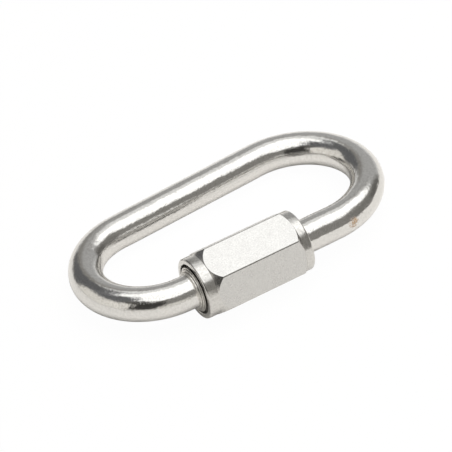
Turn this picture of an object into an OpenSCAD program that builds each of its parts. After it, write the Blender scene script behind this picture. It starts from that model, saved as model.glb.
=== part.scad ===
// Chain quick link: an open oval of round steel rod whose gate is closed by a long hexagon nut.
// Sizes are in millimetres. X runs along the nut, Z points up, and the link lies on Z = 0.

/* [Rod] */
// Diameter of the round rod
rod_d = 6; // [5:0.5:8]
// Inside bend radius of the bow next to the nut
left_bow_in = 8.55; // [7:0.05:12]
// Inside bend radius of the bow the nut opens towards
right_bow_in = 9.6; // [7:0.05:12]
// Distance between the middles of the two bows, along the nut
bow_gap = 29.15; // [28:0.05:40]
// How much the bending has thinned the rod in the bows, all round
bow_thin = 0.02; // [0.02:0.01:0.05]
// How far the straight lengths reach into the bows, thinning on the way
bow_lap = 0.3; // [0.2:0.05:0.4]

/* [Thread ends] */
// How much thicker the thread ends are than the rod, all round
upset = 1; // [0.6:0.1:1.5]
// Length of the short thread end, at its full thickness
short_end_l = 5.4; // [4:0.05:6]
// Length of the long thread end, at its full thickness
long_end_l = 7.5; // [5:0.1:9]
// Free width of the gate between the tips of the thread ends
gate = 6.6; // [5:0.1:8]
// Length of the cone from the rod up to a thread end
shoulder_l = 0.7; // [0.4:0.05:1.2]
// Bevel on the tips of the thread ends
tip_bevel = 0.6; // [0.2:0.05:1]
// How far the short thread end stands out of the mouth of the nut
short_stand = 0.2; // [0.1:0.05:0.5]

/* [Nut] */
// Length of the nut
nut_l = 20.5; // [18:0.1:24]
// Wall of the nut between its thread and its flats
nut_wall = 1.5; // [1.2:0.1:2.5]
// Straight rod between the end of the left bow and the nut
nut_stand = 1.7; // [1.1:0.1:3]
// Turn of the outward flat, up from the plane of the oval
nut_turn = 6.3; // [0:0.1:14]
// How far the round collars lie under the flats
collar_step = 0.05; // [0.02:0.01:0.2]
// How far the corners of the hexagon are blunted
corner_blunt = 0.06; // [0.03:0.01:0.15]
// Length of the round collar at the closing end
left_collar_l = 1.95; // [1.5:0.05:3]
// Length of the bevel between that collar and the corners
left_bevel_l = 1.5; // [0.8:0.05:2]
// Length of the round collar at the opening end
right_collar_l = 1.6; // [1.2:0.05:3]
// Length of the bevel between that collar and the corners
right_bevel_l = 0.85; // [0.5:0.05:2]
// How much wider the two mouths of the nut are than the thread, all round
mouth_step = 0.5; // [0.2:0.05:0.6]
// Depth of the mouth at the closing end
left_mouth_l = 1; // [0.5:0.05:1.5]
// Depth of the mouth at the opening end, which rides onto the bow
right_mouth_l = 2.2; // [2:0.1:6]
// Rounding of the edges at both ends of the nut
lip_r = 0.15; // [0.1:0.05:0.3]

/* [Fits] */
// Running gap between a thread end and the bore of the nut, all round
thread_gap = 0.05; // [0.02:0.01:0.1]

/* [Hidden] */
$fn = 96;
rod_r = rod_d / 2;
bow_rod_r = rod_r - bow_thin;
lap_r = bow_rod_r - bow_thin;
thread_r = rod_r + upset;
bore_r = thread_r + thread_gap;
mouth_r = thread_r + mouth_step;

// Middle line of the rod: a front side on the X axis, two bows, and a back side touching both
left_bow_r = left_bow_in + bow_rod_r;
right_bow_r = right_bow_in + bow_rod_r;
left_x = (left_bow_r - right_bow_r - bow_gap) / 2;
right_x = left_x + bow_gap;
back_turn = 2 * atan2(right_bow_r - left_bow_r, bow_gap);

// Places along the front side
nut_x = left_x + nut_stand;
short_base = nut_x - short_stand;
short_tip = short_base + short_end_l;
long_tip = short_tip + gate;
long_base = long_tip + long_end_l;

// Cross-section of the nut
flat_r = thread_r + nut_wall;
collar_r = flat_r - collar_step;
corner_r = flat_r / cos(30) - corner_blunt;
corner_half = acos(flat_r / corner_r);
right_mouth_x = nut_l - right_mouth_l;

// Lie of the link: one corner of the nut and the back of the right bow touch the ground
low_corner = 120 - nut_turn - corner_half;
lie_y = 2 * right_bow_r + corner_r * cos(low_corner);
lie_z = corner_r * sin(low_corner);
tilt = atan2(lie_z, lie_y) - asin(bow_rod_r / norm([lie_y, lie_z]));
axis_z = 2 * right_bow_r * sin(tilt) + bow_rod_r;
front_reach = corner_r * cos(nut_turn - corner_half + tilt);
back_reach = 2 * right_bow_r * cos(tilt) + bow_rod_r;
axis_y = (front_reach - back_reach) / 2;

// Sets a piece made about the X axis down on the ground
module laid() {
    translate([0, axis_y, axis_z])
        rotate([-tilt, 0, 0])
            children();
}

// Turns a profile of (radius, place along X) about the X axis
module turned() {
    rotate([0, 90, 0])
        rotate_extrude()
            children();
}

// Straight rod along X that thins into the bows at both ends; what follows starts at its end
module straight(rod_l) {
    turned()
        polygon([
            [0, -bow_lap],
            [lap_r, -bow_lap],
            [rod_r, 0],
            [rod_r, rod_l],
            [lap_r, rod_l + bow_lap],
            [0, rod_l + bow_lap]
        ]);
    translate([rod_l, 0, 0])
        children();
}

// Rod that starts along X and bends to the left; what follows starts at its end
module bow(bend_r, turn) {
    translate([0, bend_r, 0]) {
        rotate([0, 0, -90])
            rotate_extrude(angle = turn)
                translate([bend_r, 0])
                    circle(r = bow_rod_r);
        rotate([0, 0, turn])
            translate([0, -bend_r, 0])
                children();
    }
}

// Straight rod out of a bow with a thickened end for the thread: a cone up from the rod and a bevelled tip
module thread_end(rod_l, end_l) {
    turned()
        polygon([
            [0, -bow_lap],
            [lap_r, -bow_lap],
            [rod_r, 0],
            [rod_r, rod_l - shoulder_l],
            [thread_r, rod_l],
            [thread_r, rod_l + end_l - tip_bevel],
            [thread_r - tip_bevel, rod_l + end_l],
            [0, rod_l + end_l]
        ]);
}

// Bent rod, followed from the long thread end round the oval to the short one
module link_body() {
    color([0.78, 0.78, 0.77])
        laid()
            translate([right_x, 0, 0]) {
                rotate([0, 0, 180])
                    thread_end(right_x - long_base, long_end_l);
                bow(right_bow_r, 180 + back_turn)
                    straight(bow_gap)
                        bow(left_bow_r, 180 - back_turn)
                            thread_end(short_base - left_x, short_end_l);
            }
}

// Wall of the nut from its bore to its round collars, with flat ends and rounded edges
module collar_profile() {
    polygon([
        [collar_r, lip_r],
        [collar_r, nut_l - lip_r],
        [collar_r - lip_r, nut_l],
        [mouth_r + lip_r, nut_l],
        [mouth_r, nut_l - lip_r],
        [mouth_r, right_mouth_x],
        [bore_r, right_mouth_x - mouth_r + bore_r],
        [bore_r, left_mouth_l + mouth_r - bore_r],
        [mouth_r, left_mouth_l],
        [mouth_r, lip_r],
        [mouth_r + lip_r, 0],
        [collar_r - lip_r, 0]
    ]);
    for (edge_r = [mouth_r + lip_r, collar_r - lip_r])
        for (edge_x = [lip_r, nut_l - lip_r])
            translate([edge_r, edge_x])
                circle(r = lip_r);
}

// Hexagon tube with blunted corners, from end to end of the nut and inside its wall
module hexagon_tube() {
    rotate([0, 90, 0])
        translate([0, 0, lip_r])
            difference() {
                intersection() {
                    rotate([0, 0, -nut_turn])
                        cylinder(h = nut_l - 2 * lip_r, r = flat_r / cos(30), $fn = 6);
                    cylinder(h = nut_l - 2 * lip_r, r = corner_r);
                }
                translate([0, 0, -lip_r])
                    cylinder(h = nut_l, r = mouth_r + lip_r);
            }
}

// What the bevel at one end takes off: all that lies outside a ball through both rims of the bevel
module bevel_cut(collar_l, bevel_l) {
    ball_x = collar_l + bevel_l / 2 + (pow(corner_r, 2) - pow(collar_r, 2)) / bevel_l / 2;
    ball_r = norm([collar_r, ball_x - collar_l]);
    rotate([0, 90, 0])
        difference() {
            cylinder(h = ball_x, r = ball_r + lip_r);
            translate([0, 0, ball_x])
                sphere(r = ball_r);
        }
}

// Long hexagon nut with round collars
module sleeve_nut() {
    color([0.76, 0.75, 0.72])
        laid()
            translate([nut_x, 0, 0]) {
                turned()
                    collar_profile();
                difference() {
                    hexagon_tube();
                    bevel_cut(left_collar_l, left_bevel_l);
                    translate([nut_l, 0, 0])
                        rotate([0, 0, 180])
                            bevel_cut(right_collar_l, right_bevel_l);
                }
            }
}

link_body();
sleeve_nut();
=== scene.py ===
# %% [markdown]
# # A chain quick link in polished stainless steel
# The part is an oval of bent rod whose two thread ends are joined by a long hexagon nut. This
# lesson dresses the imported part. It loads the fixed frame, sets the camera, models the rod with its
# threads and the nut with its bore, gives both their steel finishes, builds a white studio round
# them, and hangs each piece on its body.

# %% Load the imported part
import math

import bpy
import numpy as np
from mathutils import Matrix, Vector


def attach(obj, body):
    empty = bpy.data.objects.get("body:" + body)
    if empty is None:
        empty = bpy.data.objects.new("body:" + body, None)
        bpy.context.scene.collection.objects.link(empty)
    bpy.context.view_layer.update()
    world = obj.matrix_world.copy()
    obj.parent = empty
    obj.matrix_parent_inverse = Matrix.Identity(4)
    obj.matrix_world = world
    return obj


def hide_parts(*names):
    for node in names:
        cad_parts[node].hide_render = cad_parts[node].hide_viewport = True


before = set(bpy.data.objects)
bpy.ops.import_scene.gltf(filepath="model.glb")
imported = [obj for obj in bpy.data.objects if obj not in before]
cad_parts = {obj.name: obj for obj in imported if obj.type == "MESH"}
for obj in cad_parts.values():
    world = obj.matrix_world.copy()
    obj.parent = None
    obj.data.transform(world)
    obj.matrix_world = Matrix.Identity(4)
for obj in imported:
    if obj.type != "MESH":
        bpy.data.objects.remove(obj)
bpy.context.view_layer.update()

MM = 0.001


# %% [markdown]
# ## Camera
# The photograph is a tight view from a long way off, looking down at the link by about 43 degrees
# and from the left. The place and the turn were found by laying the outline of the oval over the
# photograph, so they are plain numbers here. A camera can be aimed with a Track To constraint, but
# its matrix holds its right, up and backward directions as columns, and writing those three sets
# its roll as well as its aim.

# %% Lens of the camera
IMAGE_PX = 452
FOCAL_PX = 2800
SENSOR_MM = 36

camera_data = bpy.data.cameras.new("view")
camera_data.sensor_fit = "HORIZONTAL"
camera_data.sensor_width = SENSOR_MM
camera_data.lens = SENSOR_MM * FOCAL_PX / IMAGE_PX
camera_data.clip_start = 0.01
camera_data.clip_end = 10
camera = bpy.data.objects.new("view", camera_data)
bpy.context.scene.collection.objects.link(camera)
print("lens", round(camera_data.lens, 1), "mm")

# %% Place and turn of the camera
CAMERA_PLACE = Vector((-155.719, -317.642, 327.823)) * MM
CAMERA_RIGHT = Vector((0.856002, -0.509055, -0.090127))
CAMERA_UP = Vector((0.402925, 0.547720, 0.733249))

backward = CAMERA_RIGHT.cross(CAMERA_UP).normalized()
upward = backward.cross(CAMERA_RIGHT).normalized()
turn = Matrix((CAMERA_RIGHT.normalized(), upward, backward)).transposed()
camera.matrix_world = Matrix.Translation(CAMERA_PLACE) @ turn.to_4x4()
bpy.context.scene.camera = camera
print("camera", round(CAMERA_PLACE.length, 3), "m from the middle of the link")

# %% [markdown]
# ## Sizes
# The visual pieces have to lie exactly on the solids, so the sizes that shape the solids are
# repeated here, in metres. Both pieces are first made flat, with the thread axis on the X axis,
# because straight work is easier to follow. They are laid down later: the link rests on a corner of
# the nut and on the back of the right bow, which tilts it a few degrees.

# %% Sizes of the oval
ROD_R = 3.0 * MM
BOW_ROD_R = 2.98 * MM  # bending thins the rod a little
BOW_SKIN_R = 2.974 * MM  # what is seen stays just inside the solid
LEFT_BOW_R = 11.53 * MM
RIGHT_BOW_R = 12.58 * MM
BOW_GAP = 29.15 * MM
LEFT_X = (LEFT_BOW_R - RIGHT_BOW_R - BOW_GAP) / 2
RIGHT_X = LEFT_X + BOW_GAP
BACK_TURN = 2 * math.atan2(RIGHT_BOW_R - LEFT_BOW_R, BOW_GAP)
print("bows at", round(LEFT_X / MM, 2), "and", round(RIGHT_X / MM, 2), "mm")
print("back side slants by", round(math.degrees(BACK_TURN), 2), "degrees")

# %% Places along the thread axis
THREAD_R = 4.0 * MM
SHOULDER_L = 0.7 * MM
TIP_BEVEL = 0.6 * MM
NUT_STAND = 1.7 * MM
NUT_L = 20.5 * MM
SHORT_STAND = 0.2 * MM
SHORT_END_L = 5.4 * MM
LONG_END_L = 7.5 * MM
GATE = 6.6 * MM

NUT_X = LEFT_X + NUT_STAND
SHORT_BASE = NUT_X - SHORT_STAND
SHORT_TIP = SHORT_BASE + SHORT_END_L
LONG_TIP = SHORT_TIP + GATE
LONG_BASE = LONG_TIP + LONG_END_L
print("nut from", round(NUT_X / MM, 2), "to", round((NUT_X + NUT_L) / MM, 2), "mm")

# %% How the link lies
FLAT_R = 5.5 * MM
CORNER_BLUNT = 0.06 * MM
SHARP_CORNER_R = FLAT_R / math.cos(math.radians(30))
CORNER_R = SHARP_CORNER_R - CORNER_BLUNT
NUT_TURN = math.radians(6.3)

corner_half = math.acos(FLAT_R / CORNER_R)
low_corner = math.radians(120) - NUT_TURN - corner_half
lie_y = 2 * RIGHT_BOW_R + CORNER_R * math.cos(low_corner)
lie_z = CORNER_R * math.sin(low_corner)
TILT = math.atan2(lie_z, lie_y) - math.asin(BOW_ROD_R / math.hypot(lie_y, lie_z))
AXIS_Z = 2 * RIGHT_BOW_R * math.sin(TILT) + BOW_ROD_R
front_reach = CORNER_R * math.cos(NUT_TURN - corner_half + TILT)
AXIS_Y = (front_reach - 2 * RIGHT_BOW_R * math.cos(TILT) - BOW_ROD_R) / 2
print("link tilts by", round(math.degrees(TILT), 3), "degrees")
print("thread axis at", round(AXIS_Y / MM, 3), round(AXIS_Z / MM, 3), "mm")

# %% [markdown]
# ## Working helpers
# Both pieces are turned shapes, so most of the modelling is one move: extrude the selected ring
# along the rod and scale it to its new radius. A drawn profile that is spun would do for the nut,
# but it can't follow the bends of the rod, so one way serves both. The helper keeps the ring's
# place, so that the scaling always happens about the ring's middle.

# %% Start a ring
def start_fresh():
    """Leave edit mode and deselect everything, so that an operator touches only the new piece."""
    if bpy.context.object and bpy.context.object.mode != "OBJECT":
        bpy.ops.object.mode_set(mode="OBJECT")
    bpy.ops.object.select_all(action="DESELECT")


def start_ring(name, x, radius, sides):
    """A new ring of edges round the X axis, in edit mode and selected."""
    start_fresh()
    bpy.ops.mesh.primitive_circle_add(
        vertices=sides,
        radius=radius,
        fill_type="NOTHING",
        location=(x, 0, 0),
        rotation=(0, math.pi / 2, 0),
    )
    piece = bpy.context.object
    piece.name = name
    bpy.ops.object.transform_apply(location=True, rotation=True, scale=True)
    bpy.ops.object.mode_set(mode="EDIT")
    bpy.ops.mesh.select_all(action="SELECT")
    print(name, "starts with a ring of", sides, "points at", round(x / MM, 2), "mm")
    return piece

# %% Move a ring
SAME_RADIUS = 1e-9


class Ring:
    """The place, heading and radius of the selected ring."""

    def __init__(self, place, heading, radius):
        self.place = Vector(place)
        self.heading = Vector(heading).normalized()
        self.radius = radius

    def extrude(self, length, radius):
        """Push the ring along its heading and scale it to a new radius."""
        move = self.heading * length
        bpy.ops.mesh.extrude_region_move(TRANSFORM_OT_translate={"value": move})
        self.place = self.place + move
        if abs(radius - self.radius) > SAME_RADIUS:
            k = radius / self.radius
            bpy.ops.transform.resize(value=(k, k, k), center_override=self.place)
            self.radius = radius

    def profile(self, points):
        """Follow points of (distance from where the profile starts, radius)."""
        start = self.place.copy()
        for along, radius in points:
            done = (self.place - start).dot(self.heading)
            self.extrude(along - done, radius)

    def bend(self, centre, angle, steps):
        """Spin the ring about an upright axis; the operator turns clockwise for a positive angle."""
        bpy.ops.mesh.spin(steps=steps, angle=-angle, center=centre, axis=(0, 0, 1))
        swing = Matrix.Rotation(angle, 3, "Z")
        self.place = swing @ (self.place - Vector(centre)) + Vector(centre)
        self.heading = swing @ self.heading

# %% End a piece
def ended(piece):
    """Back to object mode, with a word on what was made."""
    bpy.ops.object.mode_set(mode="OBJECT")
    low = [round(min(v.co[i] for v in piece.data.vertices) / MM, 2) for i in range(3)]
    high = [round(max(v.co[i] for v in piece.data.vertices) / MM, 2) for i in range(3)]
    print(piece.name, len(piece.data.polygons), "faces, from", low, "to", high, "mm")

# %% [markdown]
# ## The bent rod
# The real link is one bar: its ends are thickened for the thread, then it is bent twice. A curve
# with a round bevel would give the bends, but not the thickened ends. Following the bar with one
# ring gives both: extrude for the straights, spin for the bows, and scale for the shoulders, from
# the tip of the long end round to the tip of the short one.

# %% Long thread end
ROD_SIDES = 96
EASE = 2.0 * MM  # length over which the rod thins into a bow
LONG_EDGE_L = 0.15 * MM
LONG_EDGE_DROP = 0.06 * MM
LONG_SHOULDER = [(0.25, 0.62), (0.55, 0.12)]  # millimetres past the thread end, and over the rod

rod = start_ring("polished_rod", LONG_TIP, THREAD_R - TIP_BEVEL, ROD_SIDES)
ring = Ring((LONG_TIP, 0, 0), (1, 0, 0), THREAD_R - TIP_BEVEL)
long_l = LONG_BASE - LONG_TIP
to_bow = RIGHT_X - LONG_TIP
steps = [
    (TIP_BEVEL, THREAD_R),
    (long_l - LONG_EDGE_L, THREAD_R),
    (long_l, THREAD_R - LONG_EDGE_DROP),
]
steps += [(long_l + past * MM, ROD_R + over * MM) for past, over in LONG_SHOULDER]
steps += [(long_l + SHOULDER_L, ROD_R), (to_bow - EASE, ROD_R), (to_bow, BOW_SKIN_R)]
ring.profile(steps)
print("long end followed for", round(to_bow / MM, 2), "mm")

# %% Right bow, back side and left bow
BOW_STEPS = 92

ring.bend((RIGHT_X, RIGHT_BOW_R, 0), math.pi + BACK_TURN, BOW_STEPS)
ring.profile([(EASE, ROD_R), (BOW_GAP - EASE, ROD_R), (BOW_GAP, BOW_SKIN_R)])
ring.bend((LEFT_X, LEFT_BOW_R, 0), math.pi - BACK_TURN, BOW_STEPS)
print("ring came round to", [round(v / MM, 2) for v in ring.place], "mm")

# %% [markdown]
# ## The shoulder at the closing end
# Where the rod enters the nut it steps up to the thread in small turned rings, and behind them a
# relief groove lets the nut close fully. A bump in the finish could hint at the rings, but they are
# seen from the side, where a bump shows nothing. So they are followed with the ring as the rest is,
# though they are only tenths of a millimetre high.

# %% Short thread end
SHOULDER_FOOT = 0.3 * MM
SHOULDER_RINGS = [  # millimetres past the base of the thread end, and over the rod
    (-0.55, 0.06), (-0.48, 0.30), (-0.44, 0.36), (-0.28, 0.38),  # low ring
    (-0.26, 0.32), (-0.22, 0.32),  # line between the rings
    (-0.19, 0.66), (-0.15, 0.71), (-0.02, 0.72),  # high ring
    (0, 0.65), (0.03, 0.65),  # line before the rim
    (0.05, 0.95), (0.08, 1.00), (0.14, 1.00),  # rim
]
RELIEF_R = 3.45 * MM
RELIEF_STEPS = [  # millimetres past the base, and the radius there
    (0.24, RELIEF_R), (0.80, RELIEF_R), (1.05, THREAD_R),
]

short_b = SHORT_BASE - LEFT_X
short_t = SHORT_TIP - LEFT_X
steps = [(short_b - SHOULDER_L - SHOULDER_FOOT, ROD_R), (short_b - SHOULDER_L, ROD_R)]
steps += [(short_b + past * MM, ROD_R + over * MM) for past, over in SHOULDER_RINGS]
steps += [(short_b + past * MM, radius) for past, radius in RELIEF_STEPS]
steps += [(short_t - TIP_BEVEL, THREAD_R), (short_t, THREAD_R - TIP_BEVEL)]
ring.profile(steps)
print("short end followed in", len(steps), "steps")

# %% Close both tips
bpy.ops.mesh.edge_face_add()
bpy.ops.mesh.select_all(action="DESELECT")
bpy.ops.mesh.select_non_manifold()
bpy.ops.mesh.edge_face_add()
bpy.ops.mesh.select_all(action="SELECT")
bpy.ops.mesh.normals_make_consistent(inside=False)
ended(rod)

# %% [markdown]
# ## The thread
# A screw thread is one groove that winds round the rod's end. Displacing a cylinder would blur its
# sharp crests, so the groove's four-sided section is swept by the Screw modifier and taken away
# with a Boolean. At the base of the short end the groove runs out: its first turn climbs away from
# the axis, as it does where a die stops cutting. On the long end it runs off over the shoulder, so
# that the nut can travel past it.

# %% Wind a groove
PITCH = 1.0 * MM
THREAD_STEPS = 80


def groove_section(name, x, section):
    """A loop of four edges; section holds (along from x, radius) of its four points."""
    start_fresh()
    bpy.ops.mesh.primitive_plane_add(size=1)
    cutter = bpy.context.object
    cutter.name = name
    for vertex, (along, radius) in zip(cutter.data.vertices, section):
        vertex.co = (x + along, radius, 0)
    bpy.ops.object.mode_set(mode="EDIT")
    bpy.ops.mesh.select_all(action="SELECT")
    bpy.ops.mesh.delete(type="ONLY_FACE")
    bpy.ops.object.mode_set(mode="OBJECT")
    return cutter


def wind(cutter, turns):
    """Sweep the section round the X axis, one pitch a turn."""
    screw = cutter.modifiers.new("wind", "SCREW")
    screw.axis = "X"
    screw.angle = math.tau
    screw.screw_offset = PITCH
    screw.iterations = turns
    screw.steps = THREAD_STEPS
    screw.render_steps = THREAD_STEPS
    bpy.ops.object.modifier_apply(modifier=screw.name)

# %% Let a groove run out, and close it
RUN_OUT_RISE = THREAD_R * 0.2


def run_out(cutter, x, turns):
    """Let the first turns of a groove climb away from the axis."""
    for vertex in cutter.data.vertices:
        gone = (vertex.co.x - x) / PITCH
        climb = max(0.0, 1 - gone / turns) * RUN_OUT_RISE
        outwards = Vector((0, vertex.co.y, vertex.co.z)).normalized()
        vertex.co += outwards * climb


def winding_groove(name, x, turns, section, run_out_turns=0.0):
    """A closed cutter that winds along +X from x."""
    cutter = groove_section(name, x, section)
    wind(cutter, turns)
    if run_out_turns:
        run_out(cutter, x, run_out_turns)
    bpy.ops.object.mode_set(mode="EDIT")
    bpy.ops.mesh.select_all(action="SELECT")
    bpy.ops.mesh.fill_holes(sides=4)
    bpy.ops.mesh.select_all(action="SELECT")
    bpy.ops.mesh.normals_make_consistent(inside=False)
    bpy.ops.object.mode_set(mode="OBJECT")
    return cutter

# %% [markdown]
# ## Carving
# Cutting metal away is a Boolean between the piece and its cutter. It leaves points where the two
# meshes cross, and some of them fall on one place. Left alone they make faces with no area in the
# mesh, so each cut is followed by a merge.

# %% Carve a piece with a cutter
SAME_PLACE = 0.001 * MM


def carve(piece, cutter, operation):
    """Apply one Boolean of the cutter to the piece, and throw the cutter away."""
    start_fresh()
    bpy.context.view_layer.objects.active = piece
    piece.select_set(True)
    step = piece.modifiers.new("carve", "BOOLEAN")
    step.operation = operation
    step.solver = "EXACT"
    step.object = cutter
    bpy.ops.object.modifier_apply(modifier=step.name)
    bpy.data.objects.remove(cutter)
    bpy.ops.object.mode_set(mode="EDIT")
    bpy.ops.mesh.select_all(action="SELECT")
    bpy.ops.mesh.remove_doubles(threshold=SAME_PLACE)
    bpy.ops.mesh.dissolve_degenerate(threshold=SAME_PLACE)
    bpy.ops.object.mode_set(mode="OBJECT")
    print(piece.name, "carved:", len(piece.data.polygons), "faces")

# %% Cut both thread ends
ROOT_R = 3.387 * MM
OPEN_R = 4.06 * MM
ROOT_W = 0.167 * MM
OPEN_W = 0.944 * MM
THREAD_ZERO = SHORT_BASE + 0.32 * MM  # both ends and the nut share this start of the thread
SHORT_TURNS = 6
LONG_TURNS = 9
RUN_OUT_TURNS = 0.8

rod_section = [
    (-OPEN_W / 2, OPEN_R),
    (OPEN_W / 2, OPEN_R),
    (-ROOT_W / 2, ROOT_R),
    (ROOT_W / 2, ROOT_R),
]
short_groove = winding_groove("short_groove", THREAD_ZERO, SHORT_TURNS, rod_section, RUN_OUT_TURNS)
carve(rod, short_groove, "DIFFERENCE")
turns_to_long = round((LONG_TIP - THREAD_ZERO) / PITCH) - 1
long_start = THREAD_ZERO + turns_to_long * PITCH
long_groove = winding_groove("long_groove", long_start, LONG_TURNS, rod_section)
carve(rod, long_groove, "DIFFERENCE")

# %% [markdown]
# ## The nut
# The nut is turned from hexagon bar: round collars, ball-shaped bevels and flat ends with rounded
# edges come from the lathe, and the flats are what is left of the bar. A hexagon with bevelled ends
# would not give the curved lines where a bevel meets the flats. So the turned shape is followed
# with one ring, from inside the left mouth out over the collars and back through the bore, and a
# hexagon bar then trims it.

# %% Outline of the turned ends and bevels
COLLAR_R = 5.45 * MM
MOUTH_R = 4.5 * MM
LIP_R = 0.15 * MM  # inner edge of an end
EDGE_R = 0.30 * MM  # outer edge of an end
EDGE_PARTS = 5
BEVEL_PARTS = 8


def end_face():
    """Points from inside a mouth over the flat end out to the collar, with both edges rounded."""
    turns = [math.radians(90 * i / EDGE_PARTS) for i in range(EDGE_PARTS + 1)]
    for a in turns:
        yield LIP_R - LIP_R * math.sin(a), MOUTH_R + LIP_R - LIP_R * math.cos(a)
    for a in turns:
        yield EDGE_R - EDGE_R * math.cos(a), COLLAR_R - EDGE_R + EDGE_R * math.sin(a)


def ball_bevel(collar, length):
    """Points of a ball-shaped bevel from the collar's edge out to the corners."""
    middle = collar + length / 2 + (CORNER_R**2 - COLLAR_R**2) / length / 2
    ball = math.hypot(COLLAR_R, middle - collar)
    for i in range(BEVEL_PARTS + 1):
        along = collar + length * i / BEVEL_PARTS
        yield along, math.sqrt(ball**2 - (middle - along) ** 2)

# %% Outline of the whole nut
LEFT_COLLAR_L = 1.95 * MM
LEFT_BEVEL_L = 1.5 * MM
RIGHT_COLLAR_L = 1.6 * MM
RIGHT_BEVEL_L = 0.85 * MM
LEFT_MOUTH = 1.0 * MM
RIGHT_MOUTH_L = 2.2 * MM
RIGHT_MOUTH = NUT_L - RIGHT_MOUTH_L
MINOR_R = 3.465 * MM  # crests of the thread in the bore

outline = list(end_face())
outline += list(ball_bevel(LEFT_COLLAR_L, LEFT_BEVEL_L))
right_bevel = reversed(list(ball_bevel(RIGHT_COLLAR_L, RIGHT_BEVEL_L)))
outline += [(NUT_L - along, r) for along, r in right_bevel]
right_end = reversed(list(end_face()))
outline += [(NUT_L - along, r) for along, r in right_end]
outline += [(RIGHT_MOUTH, MOUTH_R), (RIGHT_MOUTH - MOUTH_R + MINOR_R, MINOR_R)]
outline += [(LEFT_MOUTH + MOUTH_R - MINOR_R, MINOR_R), (LEFT_MOUTH, MOUTH_R)]
outline += outline[:1]
print("outline of the nut:", len(outline), "rings")

# %% Turn the nut
NUT_SIDES = 180
SAME_POINT = 0.0001 * MM

first_along, first_r = outline[0]
nut = start_ring("satin_nut", NUT_X + first_along, first_r, NUT_SIDES)
ring = Ring((NUT_X + first_along, 0, 0), (1, 0, 0), first_r)
for along, radius in outline[1:]:
    ring.extrude(NUT_X + along - ring.place.x, radius)
bpy.ops.mesh.select_all(action="SELECT")
bpy.ops.mesh.remove_doubles(threshold=SAME_POINT)
bpy.ops.mesh.normals_make_consistent(inside=False)
ended(nut)

# %% [markdown]
# ## The flats and the thread of the bore
# The flats could be cut one by one with planes, but keeping only what lies inside a hexagon bar
# gives all six in one step. The bar is turned until one flat leans back a few degrees, as the nut
# stands in the photograph. The bore gets the same winding groove as the thread ends, half a pitch
# on, so that its crests run in their grooves.

# %% Hexagon bar
BAR_L = NUT_L * 1.2


def corner_angles(bar):
    """Angles of the bar's corners, up from the viewer's side, within a sixth of a turn."""
    return [math.degrees(math.atan2(v.co.z, -v.co.y)) % 60 for v in bar.data.vertices]


start_fresh()
bpy.ops.mesh.primitive_cylinder_add(
    vertices=6,
    radius=SHARP_CORNER_R,
    depth=BAR_L,
    end_fill_type="NGON",
)
hexagon_bar = bpy.context.object
hexagon_bar.rotation_euler = (0, math.pi / 2, 0)
hexagon_bar.location = (NUT_X + NUT_L / 2, 0, 0)
bpy.ops.object.transform_apply(location=True, rotation=True, scale=True)
first_corner = corner_angles(hexagon_bar)[0]
hexagon_bar.rotation_euler = (math.radians(first_corner - 30) - NUT_TURN, 0, 0)
bpy.ops.object.transform_apply(location=True, rotation=True, scale=True)
print("corners of the bar at", sorted({round(c, 2) for c in corner_angles(hexagon_bar)}), "degrees")

# %% Trim the flats and cut the thread of the bore
BORE_ROOT_R = 4.05 * MM
BORE_OPEN_R = 3.40 * MM
BORE_ROOT_W = 0.17 * MM
BORE_OPEN_W = 0.92 * MM
BORE_TURNS = 19

carve(nut, hexagon_bar, "INTERSECT")
bore_section = [
    (-BORE_ROOT_W / 2, BORE_ROOT_R),
    (BORE_ROOT_W / 2, BORE_ROOT_R),
    (-BORE_OPEN_W / 2, BORE_OPEN_R),
    (BORE_OPEN_W / 2, BORE_OPEN_R),
]
bore_start = THREAD_ZERO + PITCH / 2 - PITCH
bore_groove = winding_groove("bore_groove", bore_start, BORE_TURNS, bore_section)
carve(nut, bore_groove, "DIFFERENCE")

# %% [markdown]
# ## Which face gets which finish
# One steel, but several ways of working it: the bar is polished, the flats are satin, the collars
# are turned bright and the thread is left as cut. The bore and the relief groove get a dark colour
# that is painted shade, for the shadow deep in the nut's mouth. Faces could be picked by hand, but
# their place tells what they are, so they are sorted in code while the pieces still lie flat on the
# axis.

# %% Read the faces of a piece
def faces_of(piece):
    """Middles and normals of all faces, as arrays in metres."""
    count = len(piece.data.polygons)
    middles = np.zeros(count * 3)
    normals = np.zeros(count * 3)
    piece.data.polygons.foreach_get("center", middles)
    piece.data.polygons.foreach_get("normal", normals)
    return middles.reshape(-1, 3), normals.reshape(-1, 3)

# %% Faces of the nut
# faces in the bore get the bore's finish, whose dark colour is painted shade
NUT_FLAT, NUT_TURNED, NUT_SHADED_BORE = range(3)
FLAT_FACING = 0.9999
NEAR_FLAT = 0.01 * MM
MOUTH_WALL = 0.06 * MM

middles, normals = faces_of(nut)
radius = np.hypot(middles[:, 1], middles[:, 2])
on_flat = np.zeros(len(middles), bool)
for k in range(6):
    a = NUT_TURN + k * math.pi / 3
    out = np.array([0, -math.cos(a), math.sin(a)])
    on_flat |= (normals @ out > FLAT_FACING) & (np.abs(middles @ out - FLAT_R) < NEAR_FLAT)
in_bore = radius < MOUTH_R - MOUTH_WALL
nut_faces = np.where(on_flat, NUT_FLAT, np.where(in_bore, NUT_SHADED_BORE, NUT_TURNED))
print("faces on flats", int(on_flat.sum()), "in the bore", int(in_bore.sum()))

# %% Faces of the rod
# the relief groove's faces get the bore's finish, whose dark colour is painted shade
ROD_POLISHED, ROD_CUT, ROD_SHADED_RELIEF = range(3)
NEAR_TIP = 0.1 * MM
RELIEF_FROM = SHORT_BASE + 0.12 * MM
RELIEF_TO = SHORT_BASE + 1.05 * MM

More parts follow.
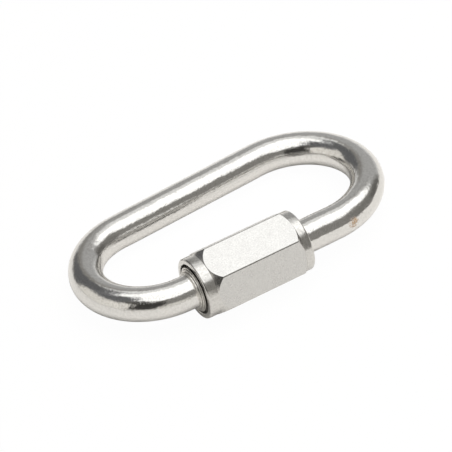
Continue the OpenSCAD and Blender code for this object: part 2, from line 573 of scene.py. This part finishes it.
middles, _ = faces_of(rod)
at = middles[:, 0]
front = np.hypot(middles[:, 1], middles[:, 2]) < THREAD_R + NEAR_TIP
short_cut = front & (at > SHORT_BASE - SHOULDER_L) & (at < SHORT_TIP + NEAR_TIP)
long_cut = front & (at > LONG_TIP - NEAR_TIP) & (at < LONG_BASE + SHOULDER_L)
in_relief = front & (at > RELIEF_FROM) & (at < RELIEF_TO)
is_cut = short_cut | long_cut
rod_faces = np.where(in_relief, ROD_SHADED_RELIEF, np.where(is_cut, ROD_CUT, ROD_POLISHED))
print("thread faces", int((rod_faces == ROD_CUT).sum()), "relief faces", int(in_relief.sum()))

# %% [markdown]
# ## Following the bends
# Drawn lines run along the bar and round its bows, which no straight coordinate can follow. A UV
# map would do, but it has a seam. So each point keeps its place along the bar and its place in the
# bar's round section in an attribute, and the finish reads that.

# %% Lengths along the bar
BACK_ANGLE = math.pi / 2 + BACK_TURN
RIGHT_BOW_L = RIGHT_BOW_R * (math.pi + BACK_TURN)
LEFT_BOW_L = LEFT_BOW_R * (math.pi - BACK_TURN)
BAR_STARTS = np.cumsum([0, BOW_GAP, RIGHT_BOW_L, BOW_GAP, LEFT_BOW_L])
FRONT_SIDE_Y = 6 * MM  # the front side lies nearer to the viewer than this
print("bar length", round(float(BAR_STARTS[-1]) / MM, 1), "mm")

# %% Place along the bar
def along_the_bar(x, y):
    """Distance along the bar, and outwards from its middle line, of points of the flat oval."""
    at_right = np.arctan2(y - RIGHT_BOW_R, x - RIGHT_X)
    at_left = np.arctan2(y - LEFT_BOW_R, x - LEFT_X) % math.tau
    in_right = (at_right >= -math.pi / 2) & (at_right <= BACK_ANGLE)
    in_left = ~in_right & (at_left >= BACK_ANGLE) & (at_left <= 1.5 * math.pi)
    in_front = ~in_right & ~in_left & (y < FRONT_SIDE_Y)
    short_side = x < (SHORT_TIP + LONG_TIP) / 2
    from_right = np.stack([x - RIGHT_X, y - RIGHT_BOW_R])
    out_of_back = np.array([math.cos(BACK_ANGLE), math.sin(BACK_ANGLE)])
    along_back = np.array([-out_of_back[1], out_of_back[0]])
    parts = [in_front, in_right, in_left]
    along_parts = [
        x - LEFT_X + np.where(short_side, BAR_STARTS[4], 0),
        BAR_STARTS[1] + RIGHT_BOW_R * (at_right + math.pi / 2),
        BAR_STARTS[3] + LEFT_BOW_R * (at_left - BACK_ANGLE),
    ]
    out_parts = [
        -y,
        np.hypot(*from_right) - RIGHT_BOW_R,
        np.hypot(x - LEFT_X, y - LEFT_BOW_R) - LEFT_BOW_R,
    ]
    along = np.select(parts, along_parts, BAR_STARTS[2] + along_back @ from_right)
    out = np.select(parts, out_parts, out_of_back @ from_right - RIGHT_BOW_R)
    return along, out

# %% Keep the place in an attribute
count = len(rod.data.vertices)
flat = np.zeros(count * 3)
rod.data.vertices.foreach_get("co", flat)
x, y, z = flat.reshape(-1, 3).T
along, out = along_the_bar(x, y)
bar_place = rod.data.attributes.new("bar_place", "FLOAT_VECTOR", "POINT")
bar_place.data.foreach_set("vector", np.stack([along, out, z], 1).astype(np.float32).ravel())
print("places kept for", count, "points")

# %% [markdown]
# ## Building finishes from nodes
# Stainless steel is a metal shader with a colour a little darker and warmer than silver. What makes
# it look real is how the polish breaks up, and that comes from noise: as height, as roughness and
# as colour. An image would need a UV map and would blur close up, so every finish is built from
# nodes. A few helpers keep the links readable.

# %% Nodes by name
def node(tree, kind, **values):
    """One node, with its inputs or properties set by name."""
    made = tree.nodes.new(kind)
    for key, value in values.items():
        if key in made.inputs:
            made.inputs[key].default_value = value
        else:
            setattr(made, key, value)
    return made


def finish_of(name):
    """A new node material with its metal shader, and the piece's own coordinates."""
    material = bpy.data.materials.new(name)
    material.use_nodes = True
    tree = material.node_tree
    shader = next(n for n in tree.nodes if n.type == "BSDF_PRINCIPLED")
    shader.inputs["Metallic"].default_value = 1.0
    place = node(tree, "ShaderNodeTexCoord").outputs["Object"]
    print("finish", name)
    return material, tree, shader, place

# %% Sums, ranges and mixes
def worked(tree, operation, first, second=0.0):
    """A Math node on two sockets, or on a socket and a number."""
    made = node(tree, "ShaderNodeMath", operation=operation)
    for socket, value in zip(made.inputs, (first, second)):
        if isinstance(value, (int, float)):
            socket.default_value = value
        else:
            tree.links.new(value, socket)
    return made.outputs[0]


def ranged(tree, value, low, high, to_low, to_high, smooth=False):
    """A value mapped from one range to another and kept inside it."""
    made = node(tree, "ShaderNodeMapRange", interpolation_type="SMOOTHSTEP" if smooth else "LINEAR")
    limits = {"From Min": low, "From Max": high, "To Min": to_low, "To Max": to_high}
    for socket, number in limits.items():
        made.inputs[socket].default_value = number
    tree.links.new(value, made.inputs["Value"])
    return made.outputs["Result"]


def mixed(tree, share, first, second):
    """A colour mix; first is a colour or a socket, second is a colour."""
    made = node(tree, "ShaderNodeMix", data_type="RGBA")
    tree.links.new(share, made.inputs[0])
    if hasattr(first, "is_linked"):
        tree.links.new(first, made.inputs[6])
    else:
        made.inputs[6].default_value = first
    made.inputs[7].default_value = second
    return made.outputs[2]

# %% Noise and height
NOISE_ROUGHNESS = 0.55


def noise(tree, where, scale, detail, stretch=None):
    """The grey value of a noise with so many waves a metre, stretched if needed."""
    if stretch is not None:
        mapping = node(tree, "ShaderNodeMapping", Scale=stretch)
        tree.links.new(where, mapping.inputs["Vector"])
        where = mapping.outputs["Vector"]
    made = node(tree, "ShaderNodeTexNoise", Scale=scale, Detail=detail, Roughness=NOISE_ROUGHNESS)
    tree.links.new(where, made.inputs["Vector"])
    return made.outputs["Fac"]


def bump(tree, height, distance, below=None):
    """A bump of that height in metres, over the one below."""
    made = node(tree, "ShaderNodeBump", Strength=1.0, Distance=distance)
    tree.links.new(height, made.inputs["Height"])
    if below is not None:
        tree.links.new(below, made.inputs["Normal"])
    return made.outputs["Normal"]

# %% [markdown]
# ## Polished bar
# The mirror is good but not perfect. Three heights are laid over each other: slow waves from
# tumbling, a fine grain that frays the edges of what is mirrored, and drawn lines along the bar.
# Fine hazy specks scatter some light into the dark bands. One roughness for the whole bar would
# look like chrome.

# %% Relief of the polished bar
WAVES = 330  # a metre
WAVE_HEIGHT = 0.09 * MM
GRAINS = 3600  # a metre
GRAIN_HEIGHT = 0.018 * MM
LINE_STRETCH = (60, 3200, 3200)  # a metre, along the bar and across it
LINE_HEIGHT = 0.006 * MM

polished, tree, shader, place = finish_of("polished_steel")
bar = node(tree, "ShaderNodeAttribute", attribute_name="bar_place").outputs["Vector"]
waves = noise(tree, place, WAVES, 2)
grain = noise(tree, place, GRAINS, 2)
lines = noise(tree, bar, 1.0, 3, stretch=LINE_STRETCH)
normal = bump(tree, waves, WAVE_HEIGHT)
normal = bump(tree, grain, GRAIN_HEIGHT, normal)
normal = bump(tree, lines, LINE_HEIGHT, normal)
tree.links.new(normal, shader.inputs["Normal"])

# %% Haze and colour of the polished bar
LINE_SPAN = (0.3, 0.75)  # greys of the noise between which the finish changes
POLISH = (0.05, 0.13)
HAZE_SPECKS = 5200  # a metre
HAZE_SPAN = (0.52, 0.70)
HAZE = 0.17
GRAIN_SPAN = (0.38, 0.66)
STEEL = (0.70, 0.690, 0.670, 1)
STEEL_DULL = (0.60, 0.590, 0.570, 1)

polish = ranged(tree, lines, *LINE_SPAN, *POLISH)
haze = ranged(tree, noise(tree, place, HAZE_SPECKS, 2), *HAZE_SPAN, 0, HAZE)
tree.links.new(worked(tree, "ADD", polish, haze), shader.inputs["Roughness"])
colour = mixed(tree, ranged(tree, grain, *GRAIN_SPAN, 0, 1), STEEL, STEEL_DULL)
print("polished bar: roughness from", POLISH[0], "to", round(POLISH[1] + HAZE, 2))

# %% [markdown]
# ## Rust stain
# One small stain sits on the right bow, as such links get them where the polish was scratched. It
# is a thin brown film with darker pits, so it is painted by the distance from its middle and broken
# up by noise. Where the film lies the surface is no longer metal.

# %% Paint the rust
RUST_FILM = (0.46, 0.33, 0.21, 1)
RUST_PIT = (0.24, 0.11, 0.05, 1)
RUST_PLACE = (16.62 * MM, -13.60 * MM, 6.85 * MM)
RUST_FULL_R = 0.5 * MM
RUST_END_R = 1.3 * MM
BLOTCHES = 2400  # a metre
BLOTCH_SPAN = (0.38, 0.62)
PITS = 5200  # a metre
PIT_SPAN = (0.56, 0.66)

from_rust = node(tree, "ShaderNodeVectorMath", operation="DISTANCE")
from_rust.inputs[1].default_value = RUST_PLACE
tree.links.new(place, from_rust.inputs[0])
away = from_rust.outputs["Value"]
near_rust = ranged(tree, away, RUST_FULL_R, RUST_END_R, 1, 0, smooth=True)
blotches = ranged(tree, noise(tree, place, BLOTCHES, 3), *BLOTCH_SPAN, 0, 1, smooth=True)
specks = ranged(tree, noise(tree, place, PITS, 1), *PIT_SPAN, 0, 1, smooth=True)
film = worked(tree, "MULTIPLY", near_rust, blotches)
pits = worked(tree, "MULTIPLY", near_rust, specks)
colour = mixed(tree, film, colour, RUST_FILM)
colour = mixed(tree, pits, colour, RUST_PIT)
tree.links.new(colour, shader.inputs["Base Color"])
tree.links.new(worked(tree, "SUBTRACT", 1.0, film), shader.inputs["Metallic"])
print("rust of", 2 * RUST_END_R / MM, "mm at", [round(v / MM, 2) for v in RUST_PLACE], "mm")

# %% [markdown]
# ## Satin flats
# The flats keep the fine grain of the drawn hexagon bar and are duller than the rod. The grain
# changes the colour more than the height, because a stronger bump would make the bright upper flat
# sparkle. Slow patches vary the roughness, like faint smudges.

# %% Wear that follows a noise
WEAR_SPAN = (0.3, 0.7)


def worn(tree, shader, rough_by, rough, colour_by, span, light, dark):
    """Roughness and colour between two values each, driven by noise."""
    tree.links.new(ranged(tree, rough_by, *WEAR_SPAN, *rough), shader.inputs["Roughness"])
    share = ranged(tree, colour_by, *span, 0, 1)
    tree.links.new(mixed(tree, share, light, dark), shader.inputs["Base Color"])

# %% Satin steel
SATIN_GRAINS = 5200  # a metre
SATIN_HEIGHT = 0.004 * MM
SATIN_PATCHES = 700  # a metre
SATIN_ROUGH = (0.20, 0.30)
SATIN_SPAN = (0.40, 0.66)
SATIN_LIGHT = (0.59, 0.584, 0.570, 1)
SATIN_DARK = (0.505, 0.50, 0.488, 1)

satin, tree, shader, place = finish_of("satin_steel")
grain = noise(tree, place, SATIN_GRAINS, 2)
patches = noise(tree, place, SATIN_PATCHES, 3)
tree.links.new(bump(tree, grain, SATIN_HEIGHT), shader.inputs["Normal"])
worn(tree, shader, patches, SATIN_ROUGH, grain, SATIN_SPAN, SATIN_LIGHT, SATIN_DARK)

# %% [markdown]
# ## Turned collars
# The collars, the bevels and the ends were turned, so their lines run round the axis. A noise that
# hardly changes across the nut but changes fast along it gives such lines. A noise of the same
# scale in all directions would only give specks.

# %% Turned steel
TURNED_STRETCH = (4200, 25, 25)  # a metre, along the axis and across it
TURNED_HEIGHT = 0.005 * MM
TURNED_GRAINS = 2800  # a metre
TURNED_GRAIN_HEIGHT = 0.006 * MM
TURNED_ROUGH = (0.14, 0.28)
TURNED_SPAN = (0.4, 0.8)
TURNED_LIGHT = (0.61, 0.60, 0.58, 1)
TURNED_DARK = (0.47, 0.46, 0.44, 1)

turned, tree, shader, place = finish_of("turned_steel")
rings = noise(tree, place, 1.0, 2, stretch=TURNED_STRETCH)
grain = noise(tree, place, TURNED_GRAINS, 2)
normal = bump(tree, rings, TURNED_HEIGHT)
normal = bump(tree, grain, TURNED_GRAIN_HEIGHT, normal)
tree.links.new(normal, shader.inputs["Normal"])
worn(tree, shader, rings, TURNED_ROUGH, grain, TURNED_SPAN, TURNED_LIGHT, TURNED_DARK)

# %% [markdown]
# ## Cut thread, and painted shade in the bore
# A thread is left as the die cut it, rougher than the bar. The bore and the relief groove never see
# a polishing wheel, so they are rough, and their colour is painted much darker as shade, for the
# shadow deep in the nut's mouth. Both need only one grain.

# %% Cut steel
CUT_GRAINS = 3000  # a metre
CUT_HEIGHT = 0.008 * MM
CUT_ROUGH = (0.24, 0.42)
CUT_SPAN = (0.35, 0.7)
CUT_LIGHT = (0.64, 0.625, 0.59, 1)
CUT_DARK = (0.46, 0.445, 0.42, 1)

cut, tree, shader, place = finish_of("cut_steel")
grain = noise(tree, place, CUT_GRAINS, 3)
tree.links.new(bump(tree, grain, CUT_HEIGHT), shader.inputs["Normal"])
worn(tree, shader, grain, CUT_ROUGH, grain, CUT_SPAN, CUT_LIGHT, CUT_DARK)

# %% Bore steel, painted dark as shade
BORE_GRAINS = 2200  # a metre
BORE_ROUGH = (0.35, 0.55)
BORE_SPAN = (0.35, 0.7)
# painted shade: these two dark colours stand for the shadow deep in the nut's mouth
BORE_SHADE_LIGHT = (0.22, 0.21, 0.195, 1)
BORE_SHADE_DARK = (0.12, 0.115, 0.105, 1)

bore, tree, shader, place = finish_of("bore_painted_shade")
grain = noise(tree, place, BORE_GRAINS, 3)
worn(tree, shader, grain, BORE_ROUGH, grain, BORE_SPAN, BORE_SHADE_LIGHT, BORE_SHADE_DARK)

# %% [markdown]
# ## Giving the finishes
# A piece holds its finishes in numbered slots, and each of its faces names one slot. Cutting the
# piece up by finish would work too, but then its edges would no longer shade as one surface. The
# slots are filled in the order in which the faces were numbered above.

# %% Give each face its finish
def give_finishes(piece, finishes, which):
    """Fill the material slots and set each face's slot."""
    piece.data.materials.clear()
    for finish in finishes:
        piece.data.materials.append(finish)
    piece.data.polygons.foreach_set("material_index", which.astype(np.int32))
    piece.data.update()
    print(piece.name, {f.name: int((which == i).sum()) for i, f in enumerate(finishes)})


give_finishes(rod, [polished, cut, bore], rod_faces)
give_finishes(nut, [satin, turned, bore], nut_faces)

# %% [markdown]
# ## Shading and laying down
# Turned and bent steel is smooth to the eye except at its edges, so faces shade smoothly up to a
# small angle between neighbours and stay sharp beyond it. Shading everything smooth would smear the
# thread and the flats. The pieces are then laid down and their turns applied, so that each object
# sits at the origin with its place in its mesh.

# %% Lay both pieces down
ROD_SHARP = 28
NUT_SHARP = 18


def lay_down(piece, sharp):
    """Shade the piece smooth up to an angle in degrees, and lay it on the ground."""
    start_fresh()
    piece.select_set(True)
    bpy.context.view_layer.objects.active = piece
    bpy.ops.object.shade_smooth_by_angle(angle=math.radians(sharp))
    piece.rotation_euler = (-TILT, 0, 0)
    piece.location = (0, AXIS_Y, AXIS_Z)
    bpy.ops.object.transform_apply(location=True, rotation=True, scale=True)
    lowest = min(vertex.co.z for vertex in piece.data.vertices)
    print(piece.name, "laid down, lowest point at", round(lowest / MM, 3), "mm")


lay_down(rod, ROD_SHARP)
lay_down(nut, NUT_SHARP)

# %% [markdown]
# ## White paper
# Such a link is photographed on white paper that runs out of the picture. Enough light to bleach
# the paper would also bleach the steel. So the paper stays plain paper for the light, and the
# camera sees mostly white with a little of the paper's own shading, which keeps the link's shadow.

# %% White for the camera and for mirrors
def white_share(tree, for_eye, for_mirror):
    """How much of a surface is pure white, where the camera sees it and where metal or glass does."""
    path = node(tree, "ShaderNodeLightPath").outputs
    mirror = worked(tree, "MAXIMUM", path["Is Glossy Ray"], path["Is Transmission Ray"])
    eye_part = worked(tree, "MULTIPLY", path["Is Camera Ray"], for_eye)
    mirror_part = worked(tree, "MULTIPLY", mirror, for_mirror)
    return worked(tree, "ADD", eye_part, mirror_part)

# %% White paper
PAPER = (0.87, 0.85, 0.815, 1)
WHITE = (1, 1, 1, 1)
EYE_WHITE = 0.975
MIRROR_WHITE = 0.08

paper = bpy.data.materials.new("white_paper")
paper.use_nodes = True
tree = paper.node_tree
tree.nodes.clear()
plain = node(tree, "ShaderNodeBsdfDiffuse", Color=PAPER)
white = node(tree, "ShaderNodeEmission", Color=WHITE, Strength=1.0)
sheet = node(tree, "ShaderNodeMixShader")
tree.links.new(white_share(tree, EYE_WHITE, MIRROR_WHITE), sheet.inputs[0])
tree.links.new(plain.outputs[0], sheet.inputs[1])
tree.links.new(white.outputs[0], sheet.inputs[2])
tree.links.new(sheet.outputs[0], node(tree, "ShaderNodeOutputMaterial").inputs["Surface"])
print("paper is", EYE_WHITE, "white for the camera and", MIRROR_WHITE, "for mirrors")

# %% Paper floor
FLOOR_R = 0.9

start_fresh()
bpy.ops.mesh.primitive_circle_add(
    vertices=96,
    radius=FLOOR_R,
    fill_type="NGON",
    location=(0, 0, 0),
)
floor = bpy.context.object
floor.name = "paper_floor"
floor.data.materials.append(paper)
print("floor", 2 * FLOOR_R, "m across")

# %% [markdown]
# ## Light tent
# Polished metal shows the room more than itself: its white bands are a ceiling, its dark bands are
# screens. Real lamps and boards would work, but each one would also light the link. So the room is
# painted on the inside of a dome that only mirrors see, as cards and discs with soft edges, in
# degrees as seen from the link.

# %% Soft-edged cards and discs
def soft_step(tree, angle, at, soft, rising):
    """A soft step of an angle at so many degrees."""
    low = math.radians(at - soft)
    high = math.radians(at + soft)
    return ranged(tree, angle, low, high, 0 if rising else 1, 1 if rising else 0, smooth=True)


def card(tree, towards, rise, around, half, low, high, soft):
    """Mask of a card: degrees right of the viewer's side, half its width, low and high edge."""
    turned_to = node(tree, "ShaderNodeMapping", Rotation=(0, 0, -math.radians(around)))
    tree.links.new(towards, turned_to.inputs["Vector"])
    parts = node(tree, "ShaderNodeSeparateXYZ")
    tree.links.new(turned_to.outputs["Vector"], parts.inputs[0])
    nearer = worked(tree, "MULTIPLY", parts.outputs["Y"], -1.0)
    off = worked(tree, "ARCTAN2", parts.outputs["X"], nearer)
    sides = soft_step(tree, worked(tree, "ABSOLUTE", off), half, soft, False)
    above = soft_step(tree, rise, low, soft, True)
    below = soft_step(tree, rise, high, soft, False)
    return worked(tree, "MULTIPLY", sides, worked(tree, "MULTIPLY", above, below))


def disc(tree, towards, around, up, half, soft):
    """Mask of a round patch about one direction."""
    a = math.radians(around)
    e = math.radians(up)
    middle = node(tree, "ShaderNodeVectorMath", operation="DOT_PRODUCT")
    level = math.cos(e)
    middle.inputs[1].default_value = (math.sin(a) * level, -math.cos(a) * level, math.sin(e))
    tree.links.new(towards, middle.inputs[0])
    return soft_step(tree, worked(tree, "ARCCOSINE", middle.outputs["Value"]), half, soft, False)

# %% [markdown]
# ## What the room holds
# Brightness 1 is white paper. The ceiling is lit from behind, so it is brighter. White cards stand
# low on the left and in front, a white board hangs high at the back, dark screens fill the gaps
# between them, and the rest of the room is dim. Each later card covers the ones before it.

# %% Ceiling, cards and screens
WARM = (1.0, 0.97, 0.91)
PLAIN = (1.0, 1.0, 0.99)
COOL = (0.98, 0.99, 1.02)
ROOM_LEVEL = 0.30

TENT_DISCS = [  # around, up, half width, softness, brightness, tint
    (0, 90, 40.5, 3, 1.6, PLAIN),  # ceiling
    (104, 50, 17, 5, 1.6, PLAIN),  # ceiling reaching down on the right
    (115, 70, 24, 6, 1.80, PLAIN),  # brightest place, which the upper flat mirrors
]
TENT_CARDS = [  # around, half width, low edge, high edge, softness, brightness, tint
    (158, 31, 42, 63, 4, 1.0, PLAIN),  # white board high at the back
    (-146, 32, 20, 57, 6, 0.22, COOL),  # dark screen at the back left
    (-106, 27, 36, 69, 4, 0.17, COOL),  # dark screen high on the left
    (-72, 14, 31, 57, 4, 0.15, WARM),  # its end towards the viewer
    (-56, 14, 36, 54, 2, 0.09, WARM),  # dark edge of the ceiling, front left
    (-34, 15, 38, 50, 2, 0.20, WARM),  # the same, further to the front
    (-121, 20, -8, 32, 5, 0.92, WARM),  # white card low on the left
    (-85, 20, -8, 38, 4, 0.98, WARM),  # its brighter and taller end
    (-42, 24, -8, 8, 4, 0.62, WARM),  # pale table edge at the front left
    (-42, 24, 7, 41, 3, 0.06, WARM),  # black screen at the front left
    (-8, 21, -8, 14, 5, 0.86, WARM),  # white card low in front
    (73, 36, 4, 32, 6, 0.25, WARM),  # dim room on the right
    (92, 16, 4, 22, 4, 0.17, WARM),  # darkest part of it
    (137, 28, -8, 38, 8, 0.50, PLAIN),  # grey board at the back right
    (146, 36, -8, 7, 5, 0.78, PLAIN),  # pale table edge at the back right
    (-160, 19, 4, 50, 4, 0.16, COOL),  # dark gap in the middle of the back
]


def shade_of(level, tint):
    """A grey of that brightness with a slight tint."""
    return (*(level * part for part in tint), 1)


print(len(TENT_DISCS), "discs and", len(TENT_CARDS), "cards")

# %% Paint the tent
tent_paint = bpy.data.materials.new("light_tent")
tent_paint.use_nodes = True
tree = tent_paint.node_tree
tree.nodes.clear()
unit = node(tree, "ShaderNodeVectorMath", operation="NORMALIZE")
tree.links.new(node(tree, "ShaderNodeTexCoord").outputs["Object"], unit.inputs[0])
towards = unit.outputs["Vector"]
height = node(tree, "ShaderNodeSeparateXYZ")
tree.links.new(towards, height.inputs[0])
rise = worked(tree, "ARCSINE", height.outputs["Z"])

colour = shade_of(ROOM_LEVEL, WARM)
for *where, level, tint in TENT_DISCS:
    colour = mixed(tree, disc(tree, towards, *where), colour, shade_of(level, tint))
for *where, level, tint in TENT_CARDS:
    colour = mixed(tree, card(tree, towards, rise, *where), colour, shade_of(level, tint))
glow = node(tree, "ShaderNodeEmission", Strength=1.0)
tree.links.new(colour, glow.inputs["Color"])
tree.links.new(glow.outputs[0], node(tree, "ShaderNodeOutputMaterial").inputs["Surface"])
print("tent painted with", len(tree.nodes), "nodes")

# %% Put up the tent
TENT_R = 1.0

start_fresh()
bpy.ops.mesh.primitive_uv_sphere_add(segments=64, ring_count=32, radius=TENT_R)
tent = bpy.context.object
tent.name = "light_tent"
bpy.ops.object.mode_set(mode="EDIT")
bpy.ops.mesh.select_all(action="SELECT")
bpy.ops.mesh.bisect(plane_co=(0, 0, 0), plane_no=(0, 0, 1), clear_inner=True)
bpy.ops.object.mode_set(mode="OBJECT")
tent.data.materials.append(tent_paint)
tent.visible_camera = False
tent.visible_diffuse = False
tent.visible_shadow = False
print("tent", TENT_R, "m high, seen only by mirrors")

# %% [markdown]
# ## Lamp and surroundings
# One wide lamp over the paper, a little to the right, gives the soft shadow. A small lamp would
# draw a hard one. White surroundings fill it in, and are pure white where the camera or a mirror
# looks past the paper. The lamp is hidden from mirrors, because the tent's ceiling already shows
# it.

# %% Soft box
SOFT_BOX_PLACE = (0.20, -0.09, 0.6)
SOFT_BOX_SIZE = 0.76
SOFT_BOX_WATTS = 5.45

soft_data = bpy.data.lights.new("soft_box", "AREA")
soft_data.shape = "DISK"
soft_data.size = SOFT_BOX_SIZE
soft_data.energy = SOFT_BOX_WATTS
soft_box = bpy.data.objects.new("soft_box", soft_data)
soft_box.location = SOFT_BOX_PLACE
soft_box.visible_glossy = False
bpy.context.scene.collection.objects.link(soft_box)
print("soft box", SOFT_BOX_SIZE, "m across,", SOFT_BOX_WATTS, "W")

# %% White surroundings
FILL = 0.25

world = bpy.data.worlds.new("white_surround")
world.use_nodes = True
tree = world.node_tree
tree.nodes.clear()
surround = node(tree, "ShaderNodeBackground", Color=WHITE)
strength = ranged(tree, white_share(tree, 1.0, 1.0), 0, 1, FILL, 1.0)
tree.links.new(strength, surround.inputs["Strength"])
tree.links.new(surround.outputs[0], node(tree, "ShaderNodeOutputWorld").inputs["Surface"])
bpy.context.scene.world = world
bpy.context.scene.view_settings.view_transform = "Standard"
print("surroundings fill in at", FILL)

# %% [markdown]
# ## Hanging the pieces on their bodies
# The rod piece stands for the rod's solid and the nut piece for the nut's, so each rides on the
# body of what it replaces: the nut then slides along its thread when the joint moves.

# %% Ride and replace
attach(rod, "link")
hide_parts("link_body")
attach(nut, "nut")
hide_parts("sleeve_nut")
